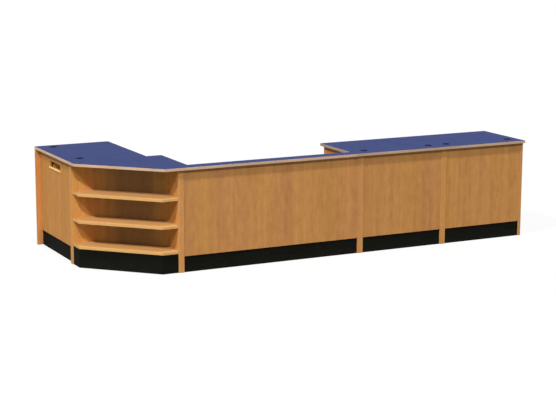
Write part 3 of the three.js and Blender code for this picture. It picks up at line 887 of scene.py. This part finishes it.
def add_channel(name, low, high, inward):
    """A steel channel that is open towards the drawer and at both ends."""
    web_low, web_high = low.copy(), high.copy()
    if inward > 0:
        web_high.x = low.x + CHANNEL_WALL
    else:
        web_low.x = high.x - CHANNEL_WALL
    channel = add_block(name, web_low, web_high)
    flange_low, flange_high = low.z + CHANNEL_WALL, high.z - CHANNEL_WALL
    for height in (flange_low, flange_high):
        pick_faces(channel, lambda face: True)
        bpy.ops.mesh.bisect(plane_co=(0, 0, height), plane_no=(0, 0, 1))
        bpy.ops.object.mode_set(mode="OBJECT")
    pick_faces(
        channel,
        lambda face: face.normal.x * inward > SQUARE_ON and not flange_low < face.center.z < flange_high,
    )
    reach = inward * (high.x - low.x - CHANNEL_WALL)
    bpy.ops.mesh.extrude_region_move(TRANSFORM_OT_translate={"value": (reach, 0, 0)})
    bpy.ops.object.mode_set(mode="OBJECT")
    return channel


for side, inward in (("left", 1), ("right", -1)):
    node = f"drawer_{side}_runner"
    low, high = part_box(node)
    channel = add_channel(f"{node}_finished", low, high, inward)
    ease_edges(channel, CHANNEL_EASE)
    channel.data.materials.append(brushed_steel)
    hand_over(channel, node)

    gap = CHANNEL_WALL + RAIL_CLEARANCE
    rail_low = low + Vector((gap, gap + (high.y - low.y) * (1 - RAIL_LENGTH_SHARE), gap))
    rail_high = high - Vector((gap, gap, gap))
    tray_face = high.x if inward > 0 else low.x
    web_face = tray_face - inward * (high.x - low.x - gap)
    rail_low.x = min(tray_face, web_face)
    rail_high.x = max(tray_face, web_face)
    rail = add_block(f"drawer_{side}_inner_rail", rail_low, rail_high)
    ease_edges(rail, RAIL_EASE)
    rail.data.materials.append(brushed_steel)
    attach(rail, "drawer")
print("drawer: runners and inner rails")

# %% [markdown]
# ## Cable grommets
# Each deep top has two grommets: a flanged liner pressed into the top, and a cap that turns in it, with a
# slot for cables. The liner is turned, so its facets are shaded smooth. The cap's face is dished by a
# fraction of a millimetre inside a narrow rim, as a moulded cap is.

# %% Grommets
CAP_RIM = 0.0018
CAP_DISH = 0.0005
CAP_EASE = 0.0003
LINER_EASE = 0.0005
GROMMET_SMOOTH = math.radians(35)
GROMMETS = ("wing_near", "wing_far", "middle_left", "middle_right", "end_left", "end_right")

for name in GROMMETS:
    liner = copy_node(f"{name}_liner")
    ease_edges(liner, LINER_EASE)
    cap = copy_node(f"{name}_cap")
    pick_faces(cap, lambda face: face.normal.z > SQUARE_ON)
    bpy.ops.mesh.inset(thickness=CAP_RIM, depth=0)
    bpy.ops.mesh.inset(thickness=CAP_DISH, depth=-CAP_DISH)
    bpy.ops.object.mode_set(mode="OBJECT")
    ease_edges(cap, CAP_EASE)
    for part, ending in ((liner, "liner"), (cap, "cap")):
        part.data.materials.append(black_plastic)
        pick_only(part)
        bpy.ops.object.shade_smooth_by_angle(angle=GROMMET_SMOOTH)
        hand_over(part, f"{name}_{ending}")
print("grommets:", len(GROMMETS))

# %% [markdown]
# ## Shelf sleeves and pins
# The storage modules are bored in two columns at each side, so that their shelves can be set at any
# height. Each hole has a small pressed-in sleeve. One sleeve is turned from a short cylinder: its face is
# inset, and the middle is pushed in for the hole. It is then copied up the columns, each copy with its own
# mesh, and the copies at one gable are joined. Four pins carry each shelf.

# %% Copies of small fittings
HOLE_DRAFT = 0.0001


def add_fitting(name, radius, depth, sides, finish):
    """A short cylinder that stands on its base at the origin and faces up."""
    bpy.ops.object.select_all(action="DESELECT")
    middle = (0, 0, depth / 2)
    bpy.ops.mesh.primitive_cylinder_add(vertices=sides, radius=radius, depth=depth, location=middle)
    piece = bpy.context.object
    piece.name = name
    bpy.ops.object.transform_apply(location=True, rotation=True, scale=True)
    piece.data.materials.append(finish)
    return piece


def sink_middle(piece, rim, depth):
    """Leaves a rim round the fitting's upper face and pushes the middle in."""
    pick_faces(piece, lambda face: face.normal.z > SQUARE_ON)
    bpy.ops.mesh.inset(thickness=rim, depth=0)
    bpy.ops.mesh.inset(thickness=HOLE_DRAFT, depth=-depth)


def spread(master, name, facing, places):
    """Joins copies of a fitting, each turned to face one way and moved to its place."""
    turn = Vector((0, 0, 1)).rotation_difference(facing).to_matrix().to_4x4()
    copies = []
    for place in places:
        copy = bpy.data.objects.new(name, master.data.copy())
        copy.data.transform(Matrix.Translation(place) @ turn)
        scene.collection.objects.link(copy)
        copies.append(copy)
    pick_only(copies[0])
    for copy in copies:
        copy.select_set(True)
    bpy.ops.object.join()
    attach(copies[0], "carcass")


print("fitting helpers ready")

# %% Sleeves and pins
SLEEVE_RADIUS = 0.004
SLEEVE_PROUD = 0.0004
SLEEVE_SINK = 0.0006
HOLE_RADIUS = 0.0025
HOLE_SIDES = 16
PIN_LENGTH = 0.008
PIN_EASE = 0.0006
PIN_DROP = 0.0001
HOLE_PITCH = 0.032
ROWS_EACH_WAY = 8
COLUMN_INSET = 0.085

levels = range(-ROWS_EACH_WAY, ROWS_EACH_WAY + 1)
sleeve = add_fitting("shelf_sleeve", SLEEVE_RADIUS, 2 * SLEEVE_PROUD, HOLE_SIDES, brushed_steel)
sink_middle(sleeve, SLEEVE_RADIUS - HOLE_RADIUS, SLEEVE_SINK)
sleeve.data.materials.append(black_plastic)
finish_picked(sleeve, 1)
bpy.ops.object.mode_set(mode="OBJECT")
pin = add_fitting("shelf_pin", HOLE_RADIUS, PIN_LENGTH, HOLE_SIDES, brushed_steel)
ease_edges(pin, PIN_EASE)

for module in ("middle", "end"):
    shelf_low, shelf_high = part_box(f"{module}_shelf")
    columns = (shelf_low.y + COLUMN_INSET, shelf_high.y - COLUMN_INSET)
    pin_height = shelf_low.z - HOLE_RADIUS - PIN_DROP
    for side, inward in (("left", 1), ("right", -1)):
        gable_low, gable_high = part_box(f"{module}_{side}_gable")
        face = gable_high.x if inward > 0 else gable_low.x
        facing = Vector((inward, 0, 0))
        rows = [pin_height + HOLE_PITCH * level for level in levels]
        holes = [Vector((face - inward * SLEEVE_PROUD, y, z)) for y in columns for z in rows]
        spread(sleeve, f"{module}_{side}_sleeves", facing, holes)
        pins = [Vector((face + inward * SLEEVE_PROUD, y, pin_height)) for y in columns]
        spread(pin, f"{module}_{side}_pins", facing, pins)
bpy.data.objects.remove(sleeve)
bpy.data.objects.remove(pin)
print("sleeves in each column:", len(levels), "at a pitch of", HOLE_PITCH)

# %% [markdown]
# ## Module bolts
# Neighbouring modules are bolted together through their gables. From inside a module each bolt shows as
# a low round head with a socket. They are kept to the staff side, because the public never sees one.

# %% Module bolts
BOLT_RADIUS = 0.0085
BOLT_HEAD = 0.0028
BOLT_RIM = 0.0048
BOLT_SOCKET_SHARE = 0.6
BOLT_SIDES = 24
BOLT_EASE = 0.0005
BOLT_INSET = 0.13
BOLT_HEIGHTS = {"station": (0.22, 0.60), "middle": (0.28, 0.78), "end": (0.28, 0.78)}

bolt = add_fitting("module_bolt", BOLT_RADIUS, BOLT_HEAD, BOLT_SIDES, brushed_steel)
sink_middle(bolt, BOLT_RIM, BOLT_SOCKET_SHARE * BOLT_HEAD)
bpy.ops.object.mode_set(mode="OBJECT")
ease_edges(bolt, BOLT_EASE)
for module, heights in BOLT_HEIGHTS.items():
    for side, inward in (("left", 1), ("right", -1)):
        gable_low, gable_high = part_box(f"{module}_{side}_gable")
        face = gable_high.x if inward > 0 else gable_low.x
        depths = (gable_low.y + BOLT_INSET, gable_high.y - BOLT_INSET)
        places = [Vector((face, y, z)) for y in depths for z in heights]
        spread(bolt, f"{module}_{side}_bolts", Vector((inward, 0, 0)), places)
gable_low, gable_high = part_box("wing_corner_gable")
depths = (gable_low.x + BOLT_INSET, gable_high.x - BOLT_INSET)
places = [Vector((x, gable_high.y, z)) for x in depths for z in BOLT_HEIGHTS["middle"]]
spread(bolt, "wing_corner_bolts", Vector((0, 1, 0)), places)
bpy.data.objects.remove(bolt)
print("bolts in each gable:", len(places))

# %% [markdown]
# ## Angle brackets
# The ledge stands on the edge of the front panel, and the worktop hangs between its gables, so both are
# held by steel angles from below. One angle starts as an upright plate. A cut marks off the strip at its
# top, and that strip is drawn out to make the level leg.

# %% Angle brackets
BRACKET_WIDTH = 0.030
BRACKET_LEG = 0.055
BRACKET_PLATE = 0.003
BRACKET_GAP = 0.0004
BRACKET_EASE = 0.0006
LEDGE_BRACKETS = 4
WORKTOP_BRACKET_PLACES = (4 / 13, 9 / 13)

half_width = BRACKET_WIDTH / 2
bracket = add_block(
    "angle_bracket",
    Vector((-half_width, 0, -BRACKET_LEG)),
    Vector((half_width, BRACKET_PLATE, 0)),
)
bpy.ops.object.mode_set(mode="EDIT")
bpy.ops.mesh.select_all(action="SELECT")
bpy.ops.mesh.bisect(plane_co=(0, 0, -BRACKET_PLATE), plane_no=(0, 0, 1))
bpy.ops.object.mode_set(mode="OBJECT")
pick_faces(bracket, lambda face: face.normal.y > SQUARE_ON and face.center.z > -BRACKET_PLATE)
bpy.ops.mesh.extrude_region_move(TRANSFORM_OT_translate={"value": (0, BRACKET_LEG - BRACKET_PLATE, 0)})
bpy.ops.object.mode_set(mode="OBJECT")
ease_edges(bracket, BRACKET_EASE)
bracket.data.materials.append(brushed_steel)


def add_bracket(name, place, turn):
    """A copy of the bracket, turned about the vertical and moved to its place."""
    copy = bpy.data.objects.new(name, bracket.data.copy())
    copy.data.transform(Matrix.Translation(place) @ Matrix.Rotation(turn, 4, "Z"))
    scene.collection.objects.link(copy)
    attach(copy, "carcass")


panel_low, panel_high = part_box("station_front_panel")
ledge_low, ledge_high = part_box("ledge_top")
for number in range(LEDGE_BRACKETS):
    x = panel_low.x + (panel_high.x - panel_low.x) * (number + 0.5) / LEDGE_BRACKETS
    place = Vector((x, panel_high.y + BRACKET_GAP, ledge_low.z - BRACKET_GAP))
    add_bracket(f"ledge_bracket_{number}", place, 0)

worktop_low, worktop_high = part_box("work_surface")
for side, x, turn in (("left", worktop_low.x, -math.pi / 2), ("right", worktop_high.x, math.pi / 2)):
    for number, share in enumerate(WORKTOP_BRACKET_PLACES):
        y = worktop_low.y + (worktop_high.y - worktop_low.y) * share
        place = Vector((x, y, worktop_low.z - BRACKET_GAP))
        add_bracket(f"worktop_{side}_bracket_{number}", place, turn)
bpy.data.objects.remove(bracket)

# %% [markdown]
# ## Floor, light and background
# The counter stands on a pale floor in a white room. The floor is drawn mostly as white for the camera,
# so that it has no edge, and keeps a faint shadow. Three soft lights do the work: one from the front, which
# reaches under the shelves at the left of the corner, one from the left, which lights the wing, and one
# from the ceiling, which draws the broad shadow under the tops' front edge. A weaker, wider one from the
# rear keeps the staff side from going dark, and the rest comes evenly from all sides.

# %% Floor
FLOOR_SIZE = 60.0
FLOOR_DROP = 0.0005
FLOOR_WHITE_SHARE = 0.86
FLOOR_BOUNCE = 0.2
FLOOR_GREY = 0.62


def grey(value):
    """A neutral colour with full alpha."""
    return (value, value, value, 1.0)


def seen_directly(tree):
    """One for rays that show a thing to the camera: straight, in a reflection or through glass."""
    rays = tree.nodes.new("ShaderNodeLightPath")
    share = calculate(tree, "MAXIMUM", rays.outputs["Is Camera Ray"], rays.outputs["Is Glossy Ray"])
    return calculate(tree, "MAXIMUM", share, rays.outputs["Is Transmission Ray"])


bpy.ops.object.select_all(action="DESELECT")
bpy.ops.mesh.primitive_plane_add(size=FLOOR_SIZE, location=(0, 0, -FLOOR_DROP))
floor = bpy.context.object
floor.name = "floor"
floor_finish = bpy.data.materials.new("pale_floor")
floor_finish.use_nodes = True
tree = floor_finish.node_tree
tree.nodes.clear()
floor_end = tree.nodes.new("ShaderNodeOutputMaterial")
floor_lit = tree.nodes.new("ShaderNodeBsdfDiffuse")
floor_lit.inputs["Color"].default_value = grey(FLOOR_BOUNCE)
floor_pale = tree.nodes.new("ShaderNodeBsdfDiffuse")
floor_pale.inputs["Color"].default_value = grey(FLOOR_GREY)
floor_white = tree.nodes.new("ShaderNodeEmission")
floor_seen = tree.nodes.new("ShaderNodeMixShader")
floor_seen.inputs["Fac"].default_value = FLOOR_WHITE_SHARE
floor_choice = tree.nodes.new("ShaderNodeMixShader")
connect(tree, floor_pale.outputs["BSDF"], floor_seen.inputs[1])
connect(tree, floor_white.outputs["Emission"], floor_seen.inputs[2])
connect(tree, seen_directly(tree), floor_choice.inputs["Fac"])
connect(tree, floor_lit.outputs["BSDF"], floor_choice.inputs[1])
connect(tree, floor_seen.outputs["Shader"], floor_choice.inputs[2])
connect(tree, floor_choice.outputs["Shader"], floor_end.inputs["Surface"])
floor.data.materials.append(floor_finish)
floor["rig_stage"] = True
print("floor:", floor.name)

# %% Background and lights
AMBIENT = 0.32
FRONT_LIGHT = (0.5, 0.94, -1.0)
FRONT_STRENGTH = 1.92
LEFT_LIGHT = (0.88, 0.29, -1.0)
LEFT_STRENGTH = 2.05
CEILING_LIGHT = (0.0, 0.29, -1.0)
CEILING_STRENGTH = 1.5
LIGHT_SOFTNESS = math.radians(4)
REAR_LIGHT = (-0.35, -1.0, -0.35)
REAR_STRENGTH = 0.9
REAR_SOFTNESS = math.radians(40)
LIGHT_DISTANCE = 4

world = bpy.data.worlds.new("white_room")
scene.world = world
world.use_nodes = True
tree = world.node_tree
background = tree.nodes["Background"]
background.inputs["Color"].default_value = grey(1.0)
strength = remap(tree, seen_directly(tree), 0.0, 1.0, AMBIENT, 1.0)
connect(tree, strength, background.inputs["Strength"])


def add_sun(name, travel, strength, softness):
    """A sun whose light travels along a direction."""
    bpy.ops.object.select_all(action="DESELECT")
    bpy.ops.object.light_add(type="SUN", location=-LIGHT_DISTANCE * Vector(travel))
    sun = bpy.context.object
    sun.name = name
    sun.rotation_euler = Vector(travel).to_track_quat("-Z", "Y").to_euler()
    sun.data.energy = strength
    sun.data.angle = softness
    return sun


add_sun("front_light", FRONT_LIGHT, FRONT_STRENGTH, LIGHT_SOFTNESS)
add_sun("left_light", LEFT_LIGHT, LEFT_STRENGTH, LIGHT_SOFTNESS)
add_sun("ceiling_light", CEILING_LIGHT, CEILING_STRENGTH, LIGHT_SOFTNESS)
rear_light = add_sun("rear_light", REAR_LIGHT, REAR_STRENGTH, REAR_SOFTNESS)
rear_light.visible_glossy = False
print("lights: front, left, ceiling and rear, ambient", AMBIENT)

# %% [markdown]
# ## The size of the finished counter
# Dressing a board must not make the counter bigger, so the box of the finished counter is printed.

# %% Sizes
low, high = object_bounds()
print("box now:", [round(side, 4) for side in high - low])
